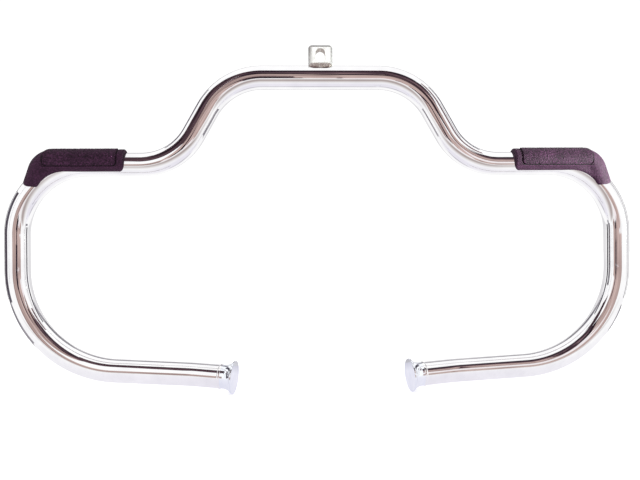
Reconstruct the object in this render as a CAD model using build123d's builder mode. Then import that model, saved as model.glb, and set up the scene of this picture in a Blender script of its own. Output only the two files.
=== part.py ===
"""Chromed moustache engine guard for a motorcycle, with rubber boot pads.

The frame: +X to the rider's right, +Y forwards, +Z up. The origin is the centre of the slot in the upper tab.
All sizes are millimetres and degrees.
"""
from build123d import *
import math
import os

# Tube
tube_diameter = 31.75
tube_wall = 2.5

# Centreline of the bar, right half: heights are counted down from the axis of the top run
side_half_width = 409.5
bar_height = 389.5
crown_half_width = 129.0
dip_half_width = 196.0
dip_depth = 118.0
lower_run_angle = 3.3
crown_bend_radius = 86.0
dip_bend_radius = 80.0
shoulder_bend_radius = 94.0
lower_bend_radius = 138.0

# Inner ends of the lower runs, toed towards the rider
foot_half_gap = 118.5
toe_length = 60.0
toe_angle = 8.0
toe_bend_radius = 138.0

# Upper tab
tab_width = 32.5
tab_thickness = 16.0
tab_top_rise = 42.0
tab_corner_radius = 4.5
tab_edge_round = 1.5
slot_width = 13.2
slot_height = 19.6
slot_rise = 28.2
tab_bead_radius = 4.6
tab_bead_rise = 13.3
tab_bead_face_offset = 0.4
tab_bead_end_inset = 3.8
tab_bead_corner = 4.8

# Flared feet
flange_diameter = 44.5
flange_thickness = 2.0
flange_edge_round = 0.7
flare_length = 13.0
neck_length = 4.0
spigot_length = 14.0
spigot_clearance = 0.1
foot_weld_width = 4.0
foot_weld_height = 0.7

# Boot pads: a round skin set off-centre from the tube, towards the rider and up, over an even jacket
pad_facing_angle = 57.0
pad_offset = 6.5
pad_skin_radius = 16.2
pad_jacket = 1.4
pad_bond_gap = 0.1
pad_edge_round = 0.8
pad_run_length = 108.0
pad_corner_inset = 38.4
pad_corner_bend = 18.0
pad_lower_edge = 11.1
pad_back_edge = 3.3
pad_end_corner_round = 6.0
pad_straight_edge = 77.0
pad_tail_angle = 49.4
pad_tail_inset = 2.4
pad_tail_depth = 2.2
pad_tail_margin = 0.5
pad_tail_inner_angle = 44.4
pad_tail_inner_inset = 7.2
pad_tail_inner_round = 4.0
pad_tail_outer_round = 10.0

# Tread panel raised on each pad
panel_end_border = 8.4
panel_length = 94.8
panel_half_angle = 59.0
panel_height = 1.15
panel_corner_radius = 5.5
panel_groove_width = 1.4
panel_groove_depth = 0.7

tube_radius = tube_diameter / 2
spigot_radius = tube_radius - tube_wall - spigot_clearance
flange_radius = flange_diameter / 2
foot_length = neck_length + flare_length + flange_thickness
top_z = -slot_rise
run_z = top_z - dip_depth
lower_corner_z = top_z - bar_height


def mirrored(point):
    """The same point on the left half of the bar."""
    return Vector(-point.X, point.Y, point.Z)


# Corners of the right half of the centreline, from the top run down to the foot
crown = Vector(crown_half_width, 0, top_z)
dip = Vector(dip_half_width, 0, run_z)
shoulder = Vector(side_half_width, 0, run_z)
lower_corner = Vector(side_half_width, 0, lower_corner_z)
run_direction = Vector(-1, 0, -math.tan(math.radians(lower_run_angle))).normalized()
toe_direction = Vector(
    run_direction.X * math.cos(math.radians(toe_angle)),
    -math.sin(math.radians(toe_angle)),
    run_direction.Z * math.cos(math.radians(toe_angle)),
)
toe_span = toe_length * -toe_direction.X
toe = lower_corner + run_direction * ((side_half_width - foot_half_gap - toe_span) / -run_direction.X)
foot_face = toe + toe_direction * toe_length
foot_seam = foot_face - toe_direction * foot_length

half_corners = [foot_seam, toe, lower_corner, shoulder, dip, crown]
half_radii = [toe_bend_radius, lower_bend_radius, shoulder_bend_radius, dip_bend_radius, crown_bend_radius]
bar_corners = half_corners + [mirrored(corner) for corner in reversed(half_corners)]
bar_radii = half_radii + half_radii[::-1]

# One bent tube
with BuildPart() as main_tube:
    with BuildLine() as bar_path:
        FilletPolyline(bar_corners, radius=bar_radii)
    with BuildSketch(Plane(origin=bar_path.line @ 0, z_dir=bar_path.line % 0)):
        Circle(tube_radius)
        Circle(tube_radius - tube_wall, mode=Mode.SUBTRACT)
    sweep()

# Slotted tab, saddled on the top run
with BuildPart() as upper_tab:
    with BuildSketch(Plane.XZ) as tab_outline:
        with Locations((0, top_z)):
            Rectangle(tab_width, tab_top_rise, align=(Align.CENTER, Align.MIN))
        fillet(tab_outline.vertices().group_by(Axis.Y)[-1], tab_corner_radius)
    extrude(amount=tab_thickness / 2, both=True)
    lowest_edges = upper_tab.edges().group_by(Axis.Z)[0]
    fillet(upper_tab.faces().filter_by(Axis.Y).edges() - lowest_edges, tab_edge_round)
    with BuildSketch(Plane.XZ):
        SlotOverall(slot_height, slot_width, rotation=90)
    extrude(amount=tab_thickness, both=True, mode=Mode.SUBTRACT)
    with Locations((0, 0, top_z)):
        Cylinder(tube_radius, tab_width * 2, rotation=(0, 90, 0), mode=Mode.SUBTRACT)

# Weld bead round the foot of the tab
bead_x = tab_width / 2 - tab_bead_end_inset
bead_y = tab_thickness / 2 + tab_bead_face_offset
with BuildPart() as tab_weld:
    with BuildLine(Plane.XY.offset(top_z + tab_bead_rise)) as bead_track:
        FilletPolyline(
            (bead_x, -bead_y),
            (bead_x, bead_y),
            (-bead_x, bead_y),
            (-bead_x, -bead_y),
            radius=tab_bead_corner,
            close=True,
        )
    with BuildSketch(Plane(origin=bead_track.line @ 0, z_dir=bead_track.line % 0)):
        Circle(tab_bead_radius)
    sweep(path=bead_track.line)
    with Locations((0, 0, top_z)):
        Cylinder(tube_radius, tab_width * 2, rotation=(0, 90, 0), mode=Mode.SUBTRACT)
    with BuildSketch(Plane.XY.offset(top_z)):
        RectangleRounded(tab_width, tab_thickness, tab_edge_round)
    extrude(amount=tab_top_rise, mode=Mode.SUBTRACT)

# Turned foot on the right lower end: local X runs along the foot from the seam, local Y is the radius
foot_plane = Plane(origin=foot_seam, x_dir=toe_direction, z_dir=toe_direction.cross(Vector(0, 0, 1)))
foot_axis = Axis(foot_seam, toe_direction)
with BuildPart() as right_foot:
    with BuildSketch(foot_plane) as foot_profile:
        with BuildLine():
            Polyline(
                (neck_length, tube_radius),
                (0, tube_radius),
                (0, spigot_radius),
                (-spigot_length, spigot_radius),
                (-spigot_length, 0),
                (foot_length, 0),
                (foot_length, flange_radius),
                (neck_length + flare_length, flange_radius),
            )
            TangentArc(
                (neck_length, tube_radius),
                (neck_length + flare_length, flange_radius),
                tangent=(1, 0),
            )
        make_face()
        fillet(foot_profile.vertices().sort_by(Axis.Y)[-2:], flange_edge_round)
    revolve(axis=foot_axis)

with BuildPart() as left_foot:
    mirror(right_foot.part, about=Plane.YZ)

# Dressed weld ring over the seam between foot and tube
with BuildPart() as right_foot_weld:
    with BuildSketch(foot_plane):
        with BuildLine():
            ThreePointArc(
                (-foot_weld_width / 2, tube_radius),
                (0, tube_radius + foot_weld_height),
                (foot_weld_width / 2, tube_radius),
            )
            Line((foot_weld_width / 2, tube_radius), (-foot_weld_width / 2, tube_radius))
        make_face()
    revolve(axis=foot_axis)

with BuildPart() as left_foot_weld:
    mirror(right_foot_weld.part, about=Plane.YZ)

# Moulded boot pad on the right shoulder
bend_centre = Vector(side_half_width - shoulder_bend_radius, 0, run_z - shoulder_bend_radius)


def shoulder_point(turn_angle, reach, y=0.0):
    """A point on or beside the shoulder bend, reach outwards from the tube's axis."""
    angle = math.radians(turn_angle)
    radius = shoulder_bend_radius + reach
    return bend_centre + Vector(radius * math.sin(angle), y, radius * math.cos(angle))


pad_corner_x = side_half_width - pad_corner_inset
pad_end_x = pad_corner_x - pad_run_length
facing = math.radians(pad_facing_angle)
skin_y = -pad_offset * math.sin(facing)
skin_z = run_z + pad_offset * math.cos(facing)
skin_corner = Vector(pad_corner_x, skin_y, skin_z)
skin_tail_end = shoulder_point(pad_tail_angle, -pad_tail_inset, -pad_tail_depth)
tail_rise = Vector(skin_corner.X - skin_tail_end.X, 0, skin_corner.Z - skin_tail_end.Z)
tail_side = tail_rise.cross(Vector(0, -1, 0)).normalized()
tail_inner = shoulder_point(pad_tail_inner_angle, -pad_tail_inner_inset)
tail_outer = skin_tail_end + tail_side * (pad_skin_radius + pad_tail_margin)
tail_top = tail_outer + tail_rise * 2
pad_low_z = run_z - pad_lower_edge
section_plane = Plane(origin=(pad_end_x, skin_y, skin_z), x_dir=(0, 1, 0), z_dir=(1, 0, 0))


def panel_sector(margin, inner_radius, outer_radius):
    """A ring sector of the tread panel, with rounded corners, grown by a margin all round."""
    half_angle = panel_half_angle + math.degrees(margin / pad_skin_radius)
    with BuildPart() as sector:
        with BuildSketch(section_plane.offset(panel_end_border - margin)):
            with BuildLine():
                first_angle = 90 + pad_facing_angle - half_angle
                outer = CenterArc((0, 0), outer_radius, first_angle, 2 * half_angle)
                inner = CenterArc((0, 0), inner_radius, first_angle, 2 * half_angle)
                Line(outer @ 0, inner @ 0)
                Line(outer @ 1, inner @ 1)
            make_face()
        extrude(amount=panel_length + 2 * margin)
        corner_edges = sector.edges().filter_by(GeomType.LINE).filter_by(Axis.X, reverse=True)
        fillet(corner_edges, panel_corner_radius + margin)
    return sector.part


groove_floor = pad_skin_radius - panel_groove_depth
groove_cutter = panel_sector(panel_groove_width, groove_floor, 2 * pad_skin_radius)
tread_panel = panel_sector(0, groove_floor, pad_skin_radius + panel_height)

with BuildPart() as right_pad:
    with BuildLine() as skin_path:
        FilletPolyline((pad_end_x, skin_y, skin_z), skin_corner, skin_tail_end, radius=pad_corner_bend)
    with BuildSketch(section_plane):
        Circle(pad_skin_radius)
    sweep(path=skin_path.line)
    with BuildLine() as seat_path:
        FilletPolyline(dip, shoulder, lower_corner, radius=shoulder_bend_radius)
    seat_plane = Plane(origin=dip, x_dir=(0, 1, 0), z_dir=(1, 0, 0))
    with BuildSketch(seat_plane):
        with Locations((-pad_jacket, 0)):
            Circle(tube_radius + pad_bond_gap)
    sweep(path=seat_path.line)
    with BuildSketch(Plane.XZ) as pad_outline:
        with BuildLine():
            edge_start = (pad_end_x + pad_straight_edge, pad_low_z)
            TangentArc(edge_start, (tail_inner.X, tail_inner.Z), tangent=(1, 0))
            Polyline(
                (tail_inner.X, tail_inner.Z),
                (tail_outer.X, tail_outer.Z),
                (tail_top.X, tail_top.Z),
                (pad_end_x, tail_top.Z),
                (pad_end_x, pad_low_z),
                edge_start,
            )
        make_face()
        fillet(pad_outline.vertices().sort_by_distance((pad_end_x, pad_low_z))[0], pad_end_corner_round)
        fillet(pad_outline.vertices().sort_by_distance((tail_inner.X, tail_inner.Z))[0], pad_tail_inner_round)
        fillet(pad_outline.vertices().sort_by_distance((tail_outer.X, tail_outer.Z))[0], pad_tail_outer_round)
    extrude(amount=2 * tube_diameter, both=True, mode=Mode.INTERSECT)
    split(bisect_by=Plane.XZ.offset(-pad_back_edge), keep=Keep.TOP)
    walls = right_pad.faces().filter_by(lambda face: abs(face.normal_at().Y) < 0.001)
    front_edges = walls.edges().filter_by(lambda edge: edge.center().Y < 0)
    rim_edges = front_edges.filter_by(Axis.Y, reverse=True)
    fillet(rim_edges.filter_by(lambda edge: edge.center().X < pad_corner_x), pad_edge_round)
    add(groove_cutter, mode=Mode.SUBTRACT)
    add(tread_panel)
    with BuildSketch(seat_plane):
        Circle(tube_radius + pad_bond_gap)
    sweep(path=seat_path.line, mode=Mode.SUBTRACT)

with BuildPart() as left_pad:
    mirror(right_pad.part, about=Plane.YZ)

pieces = {
    "main_tube": main_tube,
    "upper_tab": upper_tab,
    "tab_weld": tab_weld,
    "right_foot": right_foot,
    "left_foot": left_foot,
    "right_foot_weld": right_foot_weld,
    "left_foot_weld": left_foot_weld,
    "right_pad": right_pad,
    "left_pad": left_pad,
}
os.makedirs("parts", exist_ok=True)
for name, piece in pieces.items():
    piece.part.label = name
    export_step(piece.part, f"parts/{name}.step")
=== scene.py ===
import math

import bpy
import numpy as np
from mathutils import Matrix, Vector


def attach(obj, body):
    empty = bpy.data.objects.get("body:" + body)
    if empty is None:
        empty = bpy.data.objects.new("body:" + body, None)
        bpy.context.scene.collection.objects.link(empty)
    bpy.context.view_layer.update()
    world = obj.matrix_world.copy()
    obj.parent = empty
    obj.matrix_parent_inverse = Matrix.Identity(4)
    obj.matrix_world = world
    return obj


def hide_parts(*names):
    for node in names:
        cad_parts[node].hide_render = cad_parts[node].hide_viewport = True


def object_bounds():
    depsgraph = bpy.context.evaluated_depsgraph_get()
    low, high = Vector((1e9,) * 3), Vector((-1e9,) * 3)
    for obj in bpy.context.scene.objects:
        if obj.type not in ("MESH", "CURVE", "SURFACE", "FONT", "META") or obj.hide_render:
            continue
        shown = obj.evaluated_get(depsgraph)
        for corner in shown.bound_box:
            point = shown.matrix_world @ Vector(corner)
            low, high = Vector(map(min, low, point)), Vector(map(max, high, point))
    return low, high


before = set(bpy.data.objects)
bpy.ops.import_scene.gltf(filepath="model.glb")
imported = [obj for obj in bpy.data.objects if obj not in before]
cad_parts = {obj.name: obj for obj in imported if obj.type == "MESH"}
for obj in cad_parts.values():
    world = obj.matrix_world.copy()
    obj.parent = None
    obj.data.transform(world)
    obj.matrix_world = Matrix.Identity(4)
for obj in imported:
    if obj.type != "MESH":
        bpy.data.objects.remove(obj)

cad_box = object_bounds()

# Sizes of the bar, in metres
TUBE_RADIUS = 0.015875
TUBE_WALL = 0.0025
SKIN_INSET = 0.00004
SIDE_HALF_WIDTH = 0.4095
BAR_HEIGHT = 0.3895
CROWN_HALF_WIDTH = 0.129
DIP_HALF_WIDTH = 0.196
DIP_DEPTH = 0.118
SLOT_RISE = 0.0282
LOWER_RUN_ANGLE = math.radians(3.3)
CROWN_BEND = 0.086
DIP_BEND = 0.080
SHOULDER_BEND = 0.094
LOWER_BEND = 0.138
TOE_BEND = 0.138
FOOT_HALF_GAP = 0.1185
TOE_LENGTH = 0.060
TOE_ANGLE = math.radians(8.0)
FOOT_LENGTH = 0.019

TOP_Z = -SLOT_RISE
RUN_Z = TOP_Z - DIP_DEPTH
LOWER_CORNER_Z = TOP_Z - BAR_HEIGHT

TUBE_SIDES = 88
BEND_STEP = math.radians(1.5)
FEWEST_BEND_STEPS = 4
SHARP_EDGE = math.radians(35.0)
MERGE_DISTANCE = 1e-6
SMOOTH_FACTOR = 0.5

# Upper tab, and how far in from its rim the painted dark shade of its rounded edges starts and is darkest
TAB_TOP_Z = 0.0138
TAB_HALF_WIDTH = 0.01625
TOP_EDGE_SHADE = (0.0030, 0.0009)
LEFT_EDGE_SHADE = (0.0062, 0.0006)
RIGHT_EDGE_SHADE = (0.0036, 0.0002)
RIM_SHADE_Y = (0.0035, 0.0062)
SIDE_SHADE_Z = (-0.012, 0.010)

# Painted shade inside the slot: its ends at the sides and at both mouths, its rise up to the arch, its end
# above
SLOT_SHADE_SIDE_X = (0.0064, 0.0068)
SLOT_SHADE_MOUTH_Y = (0.0072, 0.0081)
SLOT_SHADE_ARCH_Z = (-0.004, 0.0095)
SLOT_SHADE_TOP_Z = (0.0096, 0.0101)

# Weld bead round the tab
BEAD_HALF_X = 0.01245
BEAD_HALF_Y = 0.0084
BEAD_CORNER = 0.0048
BEAD_Z = TOP_Z + 0.0133
BEAD_CELL = 0.0003
BEAD_SOFTENING = 2
BEAD_END_X = 0.0161
# Painted shade at the foot of the bead: how it grows along the bead, and the band of height it fills
BEAD_ROOT_SHADE_X = (0.002, 0.006)
BEAD_ROOT_SHADE_Z = (BEAD_Z - 0.0002, BEAD_Z - 0.0022)
RIPPLE_LENGTH = 0.0023
RIPPLE_HEIGHT = 0.00032
RIPPLE_SLANT = 0.4
RIPPLE_SHARPNESS = 1.5

# Two waves along the bead that make its ripples uneven
SLOW_WANDER, SLOW_TURNS = 0.25, 310.0
QUICK_WANDER, QUICK_TURNS, QUICK_START = 0.2, 730.0, 1.3

# Boot pads
PAD_SKIN_Y = -0.00545
PAD_SKIN_Z = -0.14266
PAD_SKIN_RADIUS = 0.0162
PANEL_RADIUS = 0.01735
PAD_FACING = math.radians(57.0)
PANEL_HALF_TURN = math.radians(66.0)
PANEL_START = 0.2695
PANEL_END = 0.3683
PAD_CELL = 0.0005
PAD_SOFTENING = 3
LIP_TURN = (math.radians(63.8), math.radians(68.0))
TAIL_TURN = math.radians(49.4)
DEEPEST_GROOVE = -0.9
STIPPLE_SIZE = 0.0017
STIPPLE_HEIGHT = 0.0006
STIPPLE_LEVEL = 0.35
STIPPLE_FADE = (0.45, 0.85)
PANEL_SHARE = 0.5

# Blend of the pads' skin, and how far it stays from the bore, the tread, both ends and the upper corner
BLEND_STEPS = 280
BORE_MARGIN = (0.0004, 0.0009)
LIP_MARGIN = math.radians(6.0)
PANEL_MARGIN = (0.0015, 0.004)
END_MARGIN = 0.006
TAIL_MARGIN = (0.05, 0.13)
CORNER_MARGIN = (0.012, 0.005)
CORNER_FACING = (math.radians(48.0), math.radians(24.0))

# Tone of the rubber, from 0 in the groove to 1 on the highest spots: painted shade in the groove, a painted
# highlight on the lip below it, the tread pale on its high spots from wear and darker low down from painted
# shade
EVEN_TONE = 0.5
TREAD_LEVEL, TREAD_WEAR_AND_SHADE = 0.90, (0.25, 0.9)
GROOVE_LEVEL, GROOVE_SLOPE, GROOVE_SHADE = 0.05, 1.2, (0.05, 0.5)
LIP_HIGHLIGHT = 0.9
SKIN_TONE = 0.57


def start_fresh():
    """Leaves edit mode with nothing selected."""
    if bpy.context.mode != "OBJECT":
        bpy.ops.object.mode_set(mode="OBJECT")
    bpy.ops.object.select_all(action="DESELECT")


def name_piece(piece, name):
    piece.name = name
    piece.data.name = name
    return piece


def set_place():
    """Puts the active object's place into its mesh."""
    bpy.ops.object.transform_apply(location=True, rotation=True, scale=True)


def merge_points():
    """Joins the points of the mesh in edit mode that lie on each other."""
    bpy.ops.mesh.select_all(action="SELECT")
    bpy.ops.mesh.remove_doubles(threshold=MERGE_DISTANCE)


def apply_all(piece):
    for modifier in list(piece.modifiers):
        bpy.ops.object.modifier_apply(modifier=modifier.name)


def finish_with(piece, material):
    piece.data.materials.clear()
    piece.data.materials.append(material)


# Materials


class Finish:
    """A material, and the steps that its look is put together from."""

    def __init__(self, name):
        self.material = bpy.data.materials.new(name)
        self.material.use_nodes = True
        self.nodes = self.material.node_tree.nodes
        self.links = self.material.node_tree.links
        self.shader = self.nodes["Principled BSDF"]
        self.place = self.nodes.new("ShaderNodeTexCoord").outputs["Object"]

    def drive(self, name, value):
        """Sets an input of the shader to a number, a colour or the result of a step."""
        socket = self.shader.inputs[name]
        if isinstance(value, float):
            socket.default_value = value
        elif isinstance(value, tuple):
            socket.default_value = (*value, 1.0)
        else:
            self.links.new(value, socket)

    def axis(self, name):
        split = self.nodes.new("ShaderNodeSeparateXYZ")
        self.links.new(self.place, split.inputs["Vector"])
        return split.outputs[name]

    def off_middle(self, name):
        """Distance along an axis from the middle, either way."""
        step = self.nodes.new("ShaderNodeMath")
        step.operation = "ABSOLUTE"
        self.links.new(self.axis(name), step.inputs[0])
        return step.outputs["Value"]

    def attribute(self, name):
        """A value kept on the points of the mesh."""
        node = self.nodes.new("ShaderNodeAttribute")
        node.attribute_name = name
        return node.outputs["Fac"]

    def noise(self, scale, detail, roughness):
        texture = self.nodes.new("ShaderNodeTexNoise")
        texture.inputs["Scale"].default_value = scale
        texture.inputs["Detail"].default_value = detail
        texture.inputs["Roughness"].default_value = roughness
        self.links.new(self.place, texture.inputs["Vector"])
        return texture.outputs["Fac"]

    def ramp(self, value, *stops):
        """A colour ramp of (position, colour) stops."""
        band = self.nodes.new("ShaderNodeValToRGB")
        elements = band.color_ramp.elements
        while len(elements) < len(stops):
            elements.new(0.5)
        for element, (position, colour) in zip(elements, stops):
            element.position = position
            element.color = (*colour, 1.0)
        self.links.new(value, band.inputs["Fac"])
        return band.outputs["Color"]

    def spread(self, value, source, target):
        """Maps a value from one range to another."""
        ranged = self.nodes.new("ShaderNodeMapRange")
        for socket, number in zip(("From Min", "From Max", "To Min", "To Max"), (*source, *target)):
            ranged.inputs[socket].default_value = number
        self.links.new(value, ranged.inputs["Value"])
        return ranged.outputs["Result"]

    def combine(self, operation, first, second):
        """Two values joined by one step of arithmetic."""
        step = self.nodes.new("ShaderNodeMath")
        step.operation = operation
        self.links.new(first, step.inputs[0])
        self.links.new(second, step.inputs[1])
        return step.outputs["Value"]

    def mix(self, share, first, second, blend="MIX"):
        """Mixes from one colour to another by a share; a fixed colour is given as numbers."""
        tint = self.nodes.new("ShaderNodeMix")
        tint.data_type = "RGBA"
        tint.blend_type = blend
        if isinstance(share, float):
            tint.inputs["Factor"].default_value = share
        else:
            self.links.new(share, tint.inputs["Factor"])
        for socket, colour in ((tint.inputs[6], first), (tint.inputs[7], second)):
            if isinstance(colour, tuple):
                socket.default_value = (*colour, 1.0)
            else:
                self.links.new(colour, socket)
        return tint.outputs[2]

    def bump(self, height, strength, distance, under=None):
        node = self.nodes.new("ShaderNodeBump")
        node.inputs["Strength"].default_value = strength
        node.inputs["Distance"].default_value = distance
        self.links.new(height, node.inputs["Height"])
        if under is not None:
            self.links.new(under, node.inputs["Normal"])
        return node.outputs["Normal"]

    def glow(self, colour, strength=1.0):
        """Turns the material into plain light of a colour."""
        self.nodes.remove(self.shader)
        light = self.nodes.new("ShaderNodeEmission")
        light.inputs["Strength"].default_value = strength
        self.links.new(colour, light.inputs["Color"])
        self.links.new(light.outputs["Emission"], self.nodes["Material Output"].inputs["Surface"])
        return self.material


def make_chrome(name, dull, bright):
    """Polished chrome with a faint haze, fine polishing marks and a slow wave in its surface."""
    finish = Finish(name)
    haze = finish.noise(scale=35.0, detail=6.0, roughness=0.6)
    finish.drive("Base Color", finish.ramp(haze, (0.3, dull), (0.7, bright)))
    finish.drive("Metallic", 1.0)
    polish = finish.noise(scale=260.0, detail=5.0, roughness=0.65)
    finish.drive("Roughness", finish.spread(polish, (0.3, 0.75), (0.015, 0.065)))
    swell = finish.noise(scale=26.0, detail=1.0, roughness=0.4)
    wave = finish.bump(swell, strength=0.05, distance=0.002)
    finish.drive("Normal", finish.bump(polish, strength=0.015, distance=0.0003, under=wave))
    return finish.material


def make_zinc():
    """Bright plating, with painted shade on the rounded top and side edges, which also turn more metallic,
    heaviest on the left, and painted shade inside the slot, darkest under the arch.
    """
    finish = Finish("bright_zinc")
    across = finish.axis("X")
    rise = finish.axis("Z")
    off_face = finish.off_middle("Y")
    blotch = finish.noise(scale=190.0, detail=5.0, roughness=0.6)
    plating = finish.ramp(
        blotch,
        (0.3, (0.76, 0.75, 0.73)),
        (0.5, (0.93, 0.925, 0.91)),
        (0.8, (0.97, 0.965, 0.96)),
    )

    # Painted shade: a dark colour on the rounded top and side edges, heaviest on the left, growing upwards
    # and towards the front and back faces; the edges also turn more metallic
    top_shade_span = [TAB_TOP_Z - inset for inset in TOP_EDGE_SHADE]
    left_shade_span = [-TAB_HALF_WIDTH + inset for inset in LEFT_EDGE_SHADE]
    right_shade_span = [TAB_HALF_WIDTH - inset for inset in RIGHT_EDGE_SHADE]
    left_edge_shade = finish.spread(across, left_shade_span, (0.0, 1.0))
    right_edge_shade = finish.spread(across, right_shade_span, (0.0, 0.9))
    side_edge_shade = finish.combine("MAXIMUM", left_edge_shade, right_edge_shade)
    side_edge_shade = finish.combine("MULTIPLY", side_edge_shade, finish.spread(rise, SIDE_SHADE_Z, (0.45, 0.8)))
    edge_shade = finish.combine("MAXIMUM", finish.spread(rise, top_shade_span, (0.0, 1.0)), side_edge_shade)
    edge_shade = finish.combine("MULTIPLY", edge_shade, finish.spread(blotch, (0.25, 0.6), (0.7, 1.0)))
    edge_shade = finish.combine("MULTIPLY", edge_shade, finish.spread(off_face, RIM_SHADE_Y, (0.12, 1.0)))
    edge_shaded = finish.mix(edge_shade, plating, (0.06, 0.055, 0.055))

    # Painted shade inside the slot, brown and darkest up under the arch
    slot_shade = finish.spread(finish.off_middle("X"), SLOT_SHADE_SIDE_X, (1.0, 0.0))
    slot_shade = finish.combine("MULTIPLY", slot_shade, finish.spread(off_face, SLOT_SHADE_MOUTH_Y, (1.0, 0.0)))
    slot_shade = finish.combine("MULTIPLY", slot_shade, finish.spread(rise, SLOT_SHADE_ARCH_Z, (0.25, 1.0)))
    slot_shade = finish.combine("MULTIPLY", slot_shade, finish.spread(rise, SLOT_SHADE_TOP_Z, (1.0, 0.0)))
    finish.drive("Base Color", finish.mix(slot_shade, edge_shaded, (0.40, 0.34, 0.31)))
    finish.drive("Metallic", finish.spread(edge_shade, (0.0, 1.0), (0.12, 0.9)))
    finish.drive("Roughness", finish.spread(blotch, (0.25, 0.75), (0.30, 0.5)))
    grain = finish.noise(scale=900.0, detail=4.0, roughness=0.7)
    finish.drive("Normal", finish.bump(grain, strength=0.2, distance=0.0003))
    return finish.material


def make_weld_metal():
    """Plated weld: brownish with heat, dark in the hollows, and with painted shade along the foot of the
    bead, weaker near its middle.
    """
    finish = Finish("weld_metal")
    heat = finish.noise(scale=210.0, detail=4.0, roughness=0.6)
    tone = finish.ramp(
        heat,
        (0.3, (0.36, 0.29, 0.27)),
        (0.5, (0.50, 0.43, 0.41)),
        (0.72, (0.65, 0.61, 0.60)),
    )
    # Painted shade along the foot of the bead where it meets the tube, weaker near its middle
    ends = finish.spread(finish.off_middle("X"), BEAD_ROOT_SHADE_X, (0.25, 1.0))
    root = finish.combine("MULTIPLY", finish.spread(finish.axis("Z"), BEAD_ROOT_SHADE_Z, (0.0, 0.9)), ends)
    tone = finish.mix(root, tone, (0.12, 0.055, 0.060))
    hollow = finish.spread(finish.attribute("hollow"), (0.0, 1.0), (0.0, 0.55))
    finish.drive("Base Color", finish.mix(hollow, tone, (0.13, 0.09, 0.08)))
    finish.drive("Metallic", 0.55)
    finish.drive("Roughness", finish.spread(heat, (0.3, 0.7), (0.32, 0.55)))
    scale = finish.noise(scale=1500.0, detail=4.0, roughness=0.7)
    finish.drive("Normal", finish.bump(scale, strength=0.3, distance=0.0003))
    return finish.material


def make_rubber():
    """Purplish black rubber: mottled bloom, fine moulded grain, a tread pale on its high spots from wear
    and darker low down from painted shade, painted shade in the groove and a painted highlight along the
    lip below it.
    """
    finish = Finish("pad_rubber")
    bloom = finish.noise(scale=60.0, detail=5.0, roughness=0.6)
    base = finish.ramp(bloom, (0.3, (0.0215, 0.0054, 0.0180)), (0.72, (0.0370, 0.0110, 0.0312)))
    mottle = finish.noise(scale=480.0, detail=3.0, roughness=0.7)
    speck = finish.ramp(
        mottle,
        (0.36, (0.45, 0.43, 0.46)),
        (0.52, (1.0, 1.0, 1.0)),
        (0.66, (2.1, 2.05, 2.1)),
    )
    # Painted shade in the groove and low in the tread, painted highlight along the lip, and the tread's
    # high spots pale from wear
    wear_and_shade = finish.ramp(
        finish.attribute("relief"),
        (0.1, (0.25, 0.22, 0.25)),
        (0.5, (1.0, 1.0, 1.0)),
        (0.9, (1.8, 1.75, 1.8)),
    )
    share = finish.spread(finish.attribute("mottled"), (0.0, 1.0), (0.5, 0.95))
    speckled = finish.mix(share, base, speck, "MULTIPLY")
    finish.drive("Base Color", finish.mix(1.0, speckled, wear_and_shade, "MULTIPLY"))
    finish.drive("Specular IOR Level", 0.15)
    finish.drive("Sheen Weight", 0.03)
    finish.drive("Sheen Roughness", 0.45)
    grain = finish.noise(scale=1400.0, detail=4.0, roughness=0.7)
    finish.drive("Roughness", finish.spread(grain, (0.3, 0.75), (0.62, 0.85)))
    pimple = finish.bump(mottle, strength=0.5, distance=0.0006)
    finish.drive("Normal", finish.bump(grain, strength=0.5, distance=0.0004, under=pimple))
    return finish.material


chrome = make_chrome("chrome_plate", dull=(0.86, 0.855, 0.87), bright=(0.95, 0.945, 0.95))
foot_chrome = make_chrome("foot_chrome", dull=(0.80, 0.83, 0.90), bright=(0.93, 0.95, 0.985))
zinc = make_zinc()
weld_metal = make_weld_metal()
rubber = make_rubber()


# Bent tube


def bar_corners():
    """Corners of the centreline, from the right foot's seam over the top to the left one."""
    run = Vector((-1.0, 0.0, -math.tan(LOWER_RUN_ANGLE))).normalized()
    toe_way = Vector((run.x * math.cos(TOE_ANGLE), -math.sin(TOE_ANGLE), run.z * math.cos(TOE_ANGLE)))
    lower = Vector((SIDE_HALF_WIDTH, 0.0, LOWER_CORNER_Z))
    toe_span = TOE_LENGTH * -toe_way.x
    toe = lower + run * ((SIDE_HALF_WIDTH - FOOT_HALF_GAP - toe_span) / -run.x)
    seam = toe + toe_way * (TOE_LENGTH - FOOT_LENGTH)
    half = [
        seam,
        toe,
        lower,
        Vector((SIDE_HALF_WIDTH, 0.0, RUN_Z)),
        Vector((DIP_HALF_WIDTH, 0.0, RUN_Z)),
        Vector((CROWN_HALF_WIDTH, 0.0, TOP_Z)),
    ]
    return half + [Vector((-c.x, c.y, c.z)) for c in reversed(half)]


def pull(step):
    bpy.ops.mesh.extrude_region_move(TRANSFORM_OT_translate={"value": step})


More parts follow.
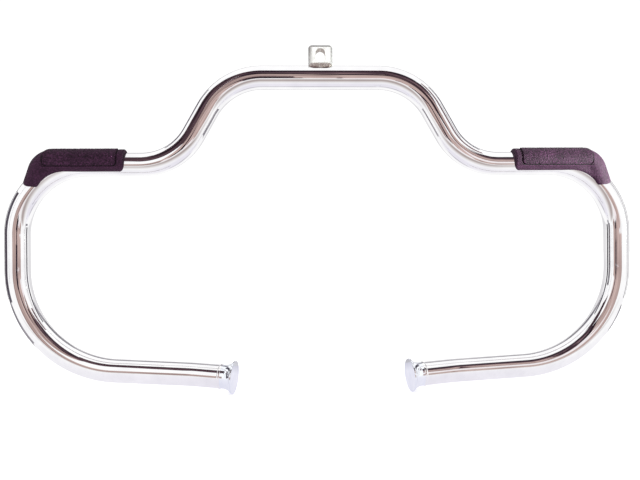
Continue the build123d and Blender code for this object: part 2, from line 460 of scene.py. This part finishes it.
def make_tube():
    """One ring, pulled along the straight runs and spun round the bends."""
    start_fresh()
    corners = bar_corners()
    half_bends = [TOE_BEND, LOWER_BEND, SHOULDER_BEND, DIP_BEND, CROWN_BEND]
    bends = half_bends + half_bends[::-1]
    way = (corners[1] - corners[0]).normalized()
    bpy.ops.mesh.primitive_circle_add(
        vertices=TUBE_SIDES,
        radius=TUBE_RADIUS - SKIN_INSET,
        location=corners[0],
        rotation=way.to_track_quat("Z", "Y").to_euler(),
    )
    tube = name_piece(bpy.context.object, "bent_tube")
    set_place()
    bpy.ops.object.mode_set(mode="EDIT")
    bpy.ops.mesh.select_all(action="SELECT")
    here = corners[0]
    for before, corner, after, radius in zip(corners, corners[1:], corners[2:], bends):
        way_in = (corner - before).normalized()
        way_out = (after - corner).normalized()
        turn = way_in.angle(way_out)
        setback = radius * math.tan(turn / 2)
        bend_start = corner - way_in * setback
        axis = way_in.cross(way_out).normalized()
        pull(bend_start - here)
        bpy.ops.mesh.spin(
            steps=max(FEWEST_BEND_STEPS, round(turn / BEND_STEP)),
            angle=-turn,
            center=bend_start + axis.cross(way_in) * radius,
            axis=axis,
        )
        here = corner + way_out * setback
    pull(corners[-1] - here)
    merge_points()
    bpy.ops.mesh.normals_make_consistent(inside=False)
    bpy.ops.object.mode_set(mode="OBJECT")
    wall = tube.modifiers.new("wall", "SOLIDIFY")
    wall.thickness = TUBE_WALL
    wall.offset = -1.0
    apply_all(tube)
    bpy.ops.object.shade_smooth_by_angle(angle=SHARP_EDGE)
    return tube


tube = make_tube()
finish_with(tube, chrome)
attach(tube, "root")
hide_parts("main_tube")


# Steps that the pads and the weld bead share


def copy_node(node, name):
    """A merged copy of a CAD node's mesh, as a new piece."""
    start_fresh()
    piece = bpy.data.objects.new(name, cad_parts[node].data.copy())
    piece.data.name = name
    bpy.context.scene.collection.objects.link(piece)
    piece.select_set(True)
    bpy.context.view_layer.objects.active = piece
    bpy.ops.object.mode_set(mode="EDIT")
    merge_points()
    bpy.ops.object.mode_set(mode="OBJECT")
    return piece


def soften(piece, name, steps, group=""):
    """Evens out a mesh, or the part of it that a group holds."""
    smooth = piece.modifiers.new(name, "SMOOTH")
    smooth.factor = SMOOTH_FACTOR
    smooth.iterations = steps
    smooth.vertex_group = group


def skin_over(piece, cell, steps):
    """A new skin of even cells over a piece, softened a little."""
    skin = piece.modifiers.new("skin", "REMESH")
    skin.mode = "VOXEL"
    skin.voxel_size = cell
    soften(piece, "soften", steps)
    apply_all(piece)


def points_of(piece):
    flat = np.zeros(len(piece.data.vertices) * 3)
    piece.data.vertices.foreach_get("co", flat)
    return flat.reshape(-1, 3)


def keep_values(piece, name, values):
    """Keeps one value on each point, for the piece's material."""
    piece.data.attributes.new(name, "FLOAT", "POINT").data.foreach_set("value", values)


# Boot pads


def place_on_pad(co):
    """Where points lie on a pad: along the bar, out from the axis of its skin, and round that axis."""
    back = co[:, 1] - PAD_SKIN_Y
    rise = co[:, 2] - PAD_SKIN_Z
    return np.abs(co[:, 0]), np.hypot(back, rise), np.arctan2(-back, rise)


def tread_lift(piece):
    """How far each point stands above the pad's skin, as a share of the tread panel's height, which points
    belong to the panel and its groove, and which to the lip below the groove."""
    along, reach, facing = place_on_pad(points_of(piece))
    lift = (reach - PAD_SKIN_RADIUS) / (PANEL_RADIUS - PAD_SKIN_RADIUS)
    turn = np.abs(facing - PAD_FACING)
    beside = (along > PANEL_START) & (along < PANEL_END)
    on_panel = beside & (turn < PANEL_HALF_TURN) & (lift > DEEPEST_GROOVE)
    on_lip = beside & (turn > LIP_TURN[0]) & (turn < LIP_TURN[1])
    return lift, on_panel, on_lip


def ease(value, start, end):
    """A share that goes evenly from 0 at one value to 1 at the other."""
    return np.clip((value - start) / (end - start), 0.0, 1.0)


def skin_blend(piece):
    """Where the pad's outer skin is blended smooth: off the tread, the bore and both ends."""
    co = points_of(piece)
    along, _, facing = place_on_pad(co)
    turn = np.abs(facing - PAD_FACING)
    past_bend = np.maximum(along - (SIDE_HALF_WIDTH - SHOULDER_BEND), 0.0)
    above_bend = co[:, 2] - (RUN_Z - SHOULDER_BEND)
    out = np.hypot(past_bend, above_bend) - SHOULDER_BEND
    bend_turn = np.arctan2(past_bend, above_bend)
    outer = ease(np.hypot(out, co[:, 1]), TUBE_RADIUS + BORE_MARGIN[0], TUBE_RADIUS + BORE_MARGIN[1])
    off_tread = ease(turn, LIP_TURN[1], LIP_TURN[1] + LIP_MARGIN)
    off_tread = np.maximum(off_tread, ease(along, PANEL_END + PANEL_MARGIN[0], PANEL_END + PANEL_MARGIN[1]))
    off_ends = ease(along, PANEL_START, PANEL_START + END_MARGIN)
    off_ends *= ease(bend_turn, TAIL_TURN - TAIL_MARGIN[0], TAIL_TURN - TAIL_MARGIN[1])
    top_corner = ease(along, PANEL_END - CORNER_MARGIN[0], PANEL_END - CORNER_MARGIN[1])
    top_corner *= ease(facing, *CORNER_FACING)
    return outer * off_ends * np.maximum(off_tread, top_corner)


def make_group(piece, name, weight):
    group = piece.vertex_groups.new(name=name)
    for index in np.nonzero(weight > 0.0)[0]:
        group.add([int(index)], float(weight[index]), "REPLACE")


def make_pad(node, name):
    """A pad with its skin blended, a stippled tread, and the tone of each spot kept for the rubber: wear,
    painted shade and a painted highlight.
    """
    pad = copy_node(node, name)
    skin_over(pad, PAD_CELL, PAD_SOFTENING)
    make_group(pad, "blend", skin_blend(pad))
    soften(pad, "blend", BLEND_STEPS, "blend")
    apply_all(pad)

    lift, on_panel, _ = tread_lift(pad)
    make_group(pad, "tread", ease(lift, *STIPPLE_FADE) * on_panel)
    grain = bpy.data.textures.new(name + "_stipple", "VORONOI")
    grain.noise_scale = STIPPLE_SIZE
    stipple = pad.modifiers.new("stipple", "DISPLACE")
    stipple.texture = grain
    stipple.texture_coords = "LOCAL"
    stipple.vertex_group = "tread"
    stipple.strength = -STIPPLE_HEIGHT
    stipple.mid_level = STIPPLE_LEVEL
    apply_all(pad)

    lift, on_panel, on_lip = tread_lift(pad)
    # Tone of each spot: painted shade in the groove and low in the tread, painted highlight on the lip,
    # wear on the tread's high spots
    raised = lift > PANEL_SHARE
    tread = np.clip(EVEN_TONE + (lift - TREAD_LEVEL), *TREAD_WEAR_AND_SHADE)
    groove = np.clip(EVEN_TONE + (lift - GROOVE_LEVEL) * GROOVE_SLOPE, *GROOVE_SHADE)
    border = np.where(on_lip, LIP_HIGHLIGHT, SKIN_TONE)
    keep_values(pad, "relief", np.where(on_panel, np.where(raised, tread, groove), border))
    keep_values(pad, "mottled", (on_panel & raised).astype(np.float64))
    bpy.ops.object.shade_smooth()
    finish_with(pad, rubber)
    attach(pad, "root")
    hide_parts(node)


make_pad("right_pad", "right_boot_pad")
make_pad("left_pad", "left_boot_pad")


# Weld bead round the tab


def bead_run(co):
    """How far each point lies along the bead, round its rounded rectangle."""
    corner_x = BEAD_HALF_X - BEAD_CORNER
    corner_y = BEAD_HALF_Y - BEAD_CORNER
    arc = BEAD_CORNER * math.pi / 2
    quarter = corner_y + arc + corner_x
    x, y = co[:, 0], co[:, 1]
    beyond_x, beyond_y = np.abs(x) - corner_x, np.abs(y) - corner_y
    corner_turn = np.arctan2(np.maximum(beyond_y, 0.0), np.maximum(beyond_x, 1e-9))
    on_corner = corner_y + BEAD_CORNER * corner_turn
    on_side = np.where(beyond_y <= 0.0, np.abs(y), on_corner)
    along = np.where(beyond_x <= 0.0, corner_y + arc - beyond_x, on_side)
    first_half = np.where(x >= 0.0, along, 2 * quarter - along)
    return np.where(y >= 0.0, first_half, 4 * quarter - first_half)


def drop_points(piece, unwanted):
    """Deletes the marked points, such as crumbs that a remesh leaves beyond a piece's ends."""
    bpy.ops.object.mode_set(mode="EDIT")
    bpy.ops.mesh.select_all(action="DESELECT")
    bpy.ops.object.mode_set(mode="OBJECT")
    piece.data.vertices.foreach_set("select", unwanted)
    bpy.ops.object.mode_set(mode="EDIT")
    bpy.ops.mesh.delete(type="VERT")
    bpy.ops.object.mode_set(mode="OBJECT")


def make_bead():
    """The bead with the ripples of a hand-laid weld."""
    bead = copy_node("tab_weld", "tab_weld_bead")
    skin_over(bead, BEAD_CELL, BEAD_SOFTENING)
    drop_points(bead, np.abs(points_of(bead)[:, 0]) > BEAD_END_X)
    co = points_of(bead)
    normals = np.zeros(len(co) * 3)
    bead.data.vertex_normals.foreach_get("vector", normals)
    run = bead_run(co)
    wander = SLOW_WANDER * np.sin(run * SLOW_TURNS) + QUICK_WANDER * np.sin(run * QUICK_TURNS + QUICK_START)
    slanted = run + RIPPLE_SLANT * np.abs(co[:, 2] - BEAD_Z)
    wave = np.cos(2 * math.pi * slanted / RIPPLE_LENGTH + wander)
    hollow = ((1.0 - wave) / 2.0) ** RIPPLE_SHARPNESS
    co -= normals.reshape(-1, 3) * (RIPPLE_HEIGHT * hollow)[:, None]
    bead.data.vertices.foreach_set("co", co.ravel())
    bead.data.update()
    keep_values(bead, "hollow", hollow)
    bpy.ops.object.shade_smooth()
    finish_with(bead, weld_metal)
    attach(bead, "root")
    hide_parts("tab_weld")


make_bead()


# Finishes of the CAD pieces that stay
for node, material in {
    "upper_tab": zinc,
    "right_foot": foot_chrome,
    "left_foot": foot_chrome,
    "right_foot_weld": chrome,
    "left_foot_weld": chrome,
}.items():
    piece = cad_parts[node]
    for slot in piece.material_slots:
        slot.material = material


# Studio: cards that show only in the polish
BLACK = (0.010, 0.006, 0.010)
NIGHT = (0.022, 0.013, 0.021)
DUSK = (0.045, 0.027, 0.040)
PLUM = (0.12, 0.070, 0.085)
MAUVE = (0.32, 0.21, 0.22)
BROWN = (0.30, 0.21, 0.20)
COCOA = (0.44, 0.32, 0.30)
TAN = (0.62, 0.47, 0.43)
ROSE = (0.72, 0.55, 0.51)
PINK = (0.88, 0.68, 0.62)
PALE = (0.98, 0.88, 0.90)
GREY = (0.45, 0.43, 0.46)
STEEL = (0.14, 0.13, 0.16)
SILVER = (0.72, 0.71, 0.73)
WHITE = (0.95, 0.95, 0.95)

FRONT_Y = -0.89
LAYER = 0.001
MIDDLE_BAR_Y = FRONT_Y + 5 * LAYER
LEFT_FLAG_Y = -0.42
BACK_Y = 0.95
CARD_FOOT = -0.455
FLOOR_DROP = 0.0002
FLOOR_Z = cad_box[0][2] - FLOOR_DROP

# A plane's points run in two rows, a card's corners in turn
PLANE_ORDER = (0, 1, 3, 2)


def make_glow(name, tones, grain):
    """Light of two tones, in soft uneven patches of a given size."""
    card_light = Finish(name)
    patches = card_light.noise(scale=1.0 / grain, detail=2.0, roughness=0.5)
    return card_light.glow(card_light.ramp(patches, (0.35, tones[0]), (0.65, tones[1])))


def only_in_polish(card):
    """A card that shows in the polish and nowhere else."""
    card.visible_camera = False
    card.visible_diffuse = False
    card.visible_shadow = False


def make_card(name, points, tones, grain):
    """A flat card given by its corners in turn."""
    start_fresh()
    bpy.ops.mesh.primitive_plane_add(size=1.0)
    card = name_piece(bpy.context.object, name)
    for vertex, index in zip(card.data.vertices, PLANE_ORDER):
        vertex.co = points[index]
    finish_with(card, make_glow(name, tones, grain))
    only_in_polish(card)


def slanted_card(name, y, outline, tones, grain):
    """A card that faces the bar, by its outline across and up."""
    make_card(name, [(x, y, z) for x, z in outline], tones, grain)


def front_card(name, left, right, low, high, tones, grain, y=FRONT_Y):
    """A straight card that faces the bar, from in front or from behind."""
    slanted_card(name, y, [(left, low), (right, low), (right, high), (left, high)], tones, grain)


def side_card(name, x, near, far, low, high, tones, grain):
    make_card(name, [(x, near, low), (x, far, low), (x, far, high), (x, near, high)], tones, grain)


def floor_card(name, left, right, near, far, tones, grain):
    z = FLOOR_Z + LAYER
    make_card(name, [(left, near, z), (right, near, z), (right, far, z), (left, far, z)], tones, grain)


# In front, from the top down
front_card("overhead_edge", -1.20, 1.00, 1.25, 1.42, (MAUVE, GREY), 0.3)
front_card("overhead_flag", -1.60, 1.15, 0.80, 1.25, (BLACK, NIGHT), 0.3)
front_card("upper_flag", -0.36, 0.95, 0.50, 0.80, (DUSK, PLUM), 0.25)
front_card("upper_left_flag", -1.60, -0.36, 0.64, 0.80, (DUSK, PLUM), 0.25)
left_flag_outline = [(-1.60, 0.83), (-0.26, -0.06), (-0.20, 0.60), (-1.60, 1.60)]
slanted_card("left_flag", LEFT_FLAG_Y, left_flag_outline, (BLACK, PLUM), 0.12)
front_card("middle_flag", -0.36, 0.33, 0.27, 0.50, (DUSK, MAUVE), 0.12)
middle_bar_outline = [(-0.36, 0.44), (0.22, 0.07), (0.22, 0.25), (-0.36, 0.57)]
slanted_card("middle_bar", MIDDLE_BAR_Y, middle_bar_outline, (BLACK, DUSK), 0.12)
front_card("middle_band", -0.36, 0.22, -0.04, 0.27, (BROWN, TAN), 0.12)
front_card("right_flag", 0.33, 0.80, 0.36, 0.50, (DUSK, MAUVE), 0.15)
front_card("right_glow", 0.47, 0.80, 0.14, 0.36, (BROWN, PINK), 0.15)
front_card("right_bar", 0.22, 0.47, 0.04, 0.36, (BLACK, PLUM), 0.10, FRONT_Y + LAYER)
front_card("right_band", 0.36, 0.75, 0.00, 0.14, (BROWN, TAN), 0.2, FRONT_Y - LAYER)
front_card("left_low_card", -0.72, -0.30, CARD_FOOT, -0.20, (BROWN, TAN), 0.15)
front_card("centre_low_card", -0.36, 0.36, CARD_FOOT, -0.04, (COCOA, ROSE), 0.15, FRONT_Y - 2 * LAYER)
front_card("right_low_card", 0.36, 0.75, CARD_FOOT, -0.24, (BROWN, ROSE), 0.2, FRONT_Y - 2 * LAYER)
front_card("right_strip", 0.34, 0.75, -0.24, 0.00, (PALE, WHITE), 0.2, FRONT_Y - 3 * LAYER)
front_card("centre_strip", -0.30, 0.30, CARD_FOOT, -0.325, (PALE, WHITE), 0.15, FRONT_Y + 6 * LAYER)
front_card("long_stripe", -0.245, -0.025, -0.36, -0.26, (BLACK, DUSK), 0.08, FRONT_Y + 10 * LAYER)
front_card("left_stripe", -0.17, -0.05, -0.26, -0.06, (BLACK, PLUM), 0.08, FRONT_Y + 10 * LAYER)
front_card("short_stripe", 0.072, 0.092, -0.37, -0.25, (BLACK, PLUM), 0.08, FRONT_Y + 10 * LAYER)

# At both sides
side_card("left_low_flag", -0.90, -0.17, 0.20, CARD_FOOT, 0.02, (DUSK, STEEL), 0.12)
side_card("left_stand", -1.50, -0.86, -0.81, -0.45, 2.60, (DUSK, STEEL), 0.3)
side_card("left_back_stand", -1.00, 0.38, 0.75, CARD_FOOT, 0.90, (BLACK, STEEL), 0.3)
side_card("right_back_stand", 1.00, 0.38, 0.75, CARD_FOOT, 0.90, (BLACK, STEEL), 0.3)
side_card("right_side_line", 0.90, 0.00, 0.09, CARD_FOOT, 0.45, (STEEL, GREY), 0.15)
side_card("right_wall_flag", 1.60, -0.89, -0.35, 0.75, 1.90, (PLUM, MAUVE), 0.35)
side_card("right_stand", 1.50, -0.28, -0.23, -0.45, 1.60, (STEEL, GREY), 0.3)

# Behind the bar
front_card("back_flag", -1.30, 1.30, 0.36, 0.80, (STEEL, GREY), 0.3, BACK_Y)
front_card("back_bar", -0.26, 0.26, 0.14, 0.36, (BLACK, STEEL), 0.2, BACK_Y)
front_card("left_back_bar", -0.90, -0.26, 0.14, 0.36, (GREY, SILVER), 0.2, BACK_Y)
front_card("right_back_bar", 0.26, 0.90, 0.14, 0.36, (GREY, SILVER), 0.2, BACK_Y)
front_card("back_band", -0.80, 0.80, CARD_FOOT, 0.10, (SILVER, WHITE), 0.2, BACK_Y)

# On the floor
floor_card("foot_shade", -0.13, 0.13, 0.125, 0.17, (GREY, SILVER), 0.12)
floor_card("right_floor_shade", 0.56, 0.80, 0.05, 0.50, (STEEL, GREY), 0.15)
floor_card("left_floor_shade", -0.95, -0.50, -0.02, 0.25, (STEEL, GREY), 0.15)


# Floor
FLOOR_SIZE = 14.0
FLOOR_WHITE = (0.92, 0.92, 0.92)
FLOOR_GLOW = 0.35
SHEEN_RADIUS = 7.0
SHEEN_SIDES = 48
SHEEN_STRENGTH = 1.06
PURE_WHITE = (1.0, 1.0, 1.0)


def make_floor():
    """White paper that the polish doesn't see."""
    start_fresh()
    bpy.ops.mesh.primitive_plane_add(size=FLOOR_SIZE, location=(0.0, 0.0, FLOOR_Z))
    floor = name_piece(bpy.context.object, "floor")
    set_place()
    paint = Finish("floor_paint")
    paint.drive("Base Color", FLOOR_WHITE)
    paint.drive("Roughness", 0.9)
    paint.drive("Specular IOR Level", 0.0)
    paint.drive("Emission Color", PURE_WHITE)
    paint.drive("Emission Strength", FLOOR_GLOW)
    finish_with(floor, paint.material)
    floor.visible_glossy = False


def floor_patch(sheen, centre, reach, tone):
    """A soft patch of a tone on the floor, white further out."""
    mapping = sheen.nodes.new("ShaderNodeMapping")
    mapping.vector_type = "TEXTURE"
    mapping.inputs["Location"].default_value = (*centre, FLOOR_Z)
    mapping.inputs["Scale"].default_value = (*reach, 1.0)
    sheen.links.new(sheen.place, mapping.inputs["Vector"])
    away = sheen.nodes.new("ShaderNodeVectorMath")
    away.operation = "LENGTH"
    sheen.links.new(mapping.outputs["Vector"], away.inputs[0])
    return sheen.ramp(away.outputs["Value"], (0.25, tone), (1.0, PURE_WHITE))


def make_floor_sheen():
    """The floor as the polish sees it: pale lilac painted shade below the bar, tan in front of it, a
    painted grey shadow just behind its feet, white further out."""
    start_fresh()
    bpy.ops.mesh.primitive_circle_add(
        vertices=SHEEN_SIDES,
        radius=SHEEN_RADIUS,
        fill_type="NGON",
        location=(0.0, 0.0, FLOOR_Z),
    )
    disc = name_piece(bpy.context.object, "floor_sheen")
    set_place()
    sheen = Finish("floor_sheen")
    # Painted shade below the bar, and a painted shadow just behind its feet
    under = floor_patch(sheen, centre=(0.0, 0.0), reach=(0.62, 0.30), tone=(0.84, 0.82, 0.89))
    front = floor_patch(sheen, centre=(0.06, -0.55), reach=(0.95, 0.36), tone=(0.44, 0.375, 0.365))
    behind = floor_patch(sheen, centre=(0.0, 0.15), reach=(0.20, 0.07), tone=(0.66, 0.66, 0.71))
    tones = sheen.mix(1.0, sheen.mix(1.0, under, front, "MULTIPLY"), behind, "MULTIPLY")
    finish_with(disc, sheen.glow(tones, SHEEN_STRENGTH))
    only_in_polish(disc)


make_floor()
make_floor_sheen()


# Light: a white tent, and a soft spot on the right pad
TENT_STRENGTH = 1.1
SPOT_POWER = 122.0
SPOT_COLOUR = (0.82, 1.0, 0.85)
SPOT_SOFTNESS = 0.10
SPOT_CONE = math.radians(25.0)
SPOT_BLEND = 0.5
SPOT_PLACE = Vector((0.92, -0.36, -0.18))
SPOT_AIM = Vector((0.350, 0.0, -0.165))

world = bpy.data.worlds.new("white_tent")
world.use_nodes = True
background = world.node_tree.nodes["Background"]
background.inputs["Color"].default_value = (*PURE_WHITE, 1.0)
background.inputs["Strength"].default_value = TENT_STRENGTH
bpy.context.scene.world = world
bpy.context.scene.view_settings.view_transform = "Standard"

spot_data = bpy.data.lights.new("pad_spot", "SPOT")
spot_data.energy = SPOT_POWER
spot_data.color = SPOT_COLOUR
spot_data.shadow_soft_size = SPOT_SOFTNESS
spot_data.spot_size = SPOT_CONE
spot_data.spot_blend = SPOT_BLEND
spot = bpy.data.objects.new("pad_spot", spot_data)
spot.location = SPOT_PLACE
spot.rotation_euler = (SPOT_AIM - SPOT_PLACE).to_track_quat("-Z", "Y").to_euler()
bpy.context.scene.collection.objects.link(spot)


# Camera, level with the middle of the bar
CAMERA_DISTANCE = 0.739
CAMERA_YAW = math.radians(-1.6)
CAMERA_ROLL = math.radians(-0.4)
CAMERA_SIDE = -0.002
CAMERA_Z = -0.2501
LENS = 30.375
SENSOR_WIDTH = 36.0

camera_data = bpy.data.cameras.new("camera")
camera_data.lens = LENS
camera_data.sensor_width = SENSOR_WIDTH
camera = bpy.data.objects.new("camera", camera_data)
ahead = Vector((-math.sin(CAMERA_YAW), math.cos(CAMERA_YAW), 0.0))
level = Vector((math.cos(CAMERA_YAW), math.sin(CAMERA_YAW), 0.0))
right = level * math.cos(CAMERA_ROLL) + Vector((0.0, 0.0, 1.0)) * math.sin(CAMERA_ROLL)
up = right.cross(ahead)
eye = Vector((CAMERA_SIDE, 0.0, CAMERA_Z)) - ahead * CAMERA_DISTANCE
camera.matrix_world = Matrix.Translation(eye) @ Matrix((right, up, -ahead)).transposed().to_4x4()
bpy.context.scene.collection.objects.link(camera)
bpy.context.scene.camera = camera
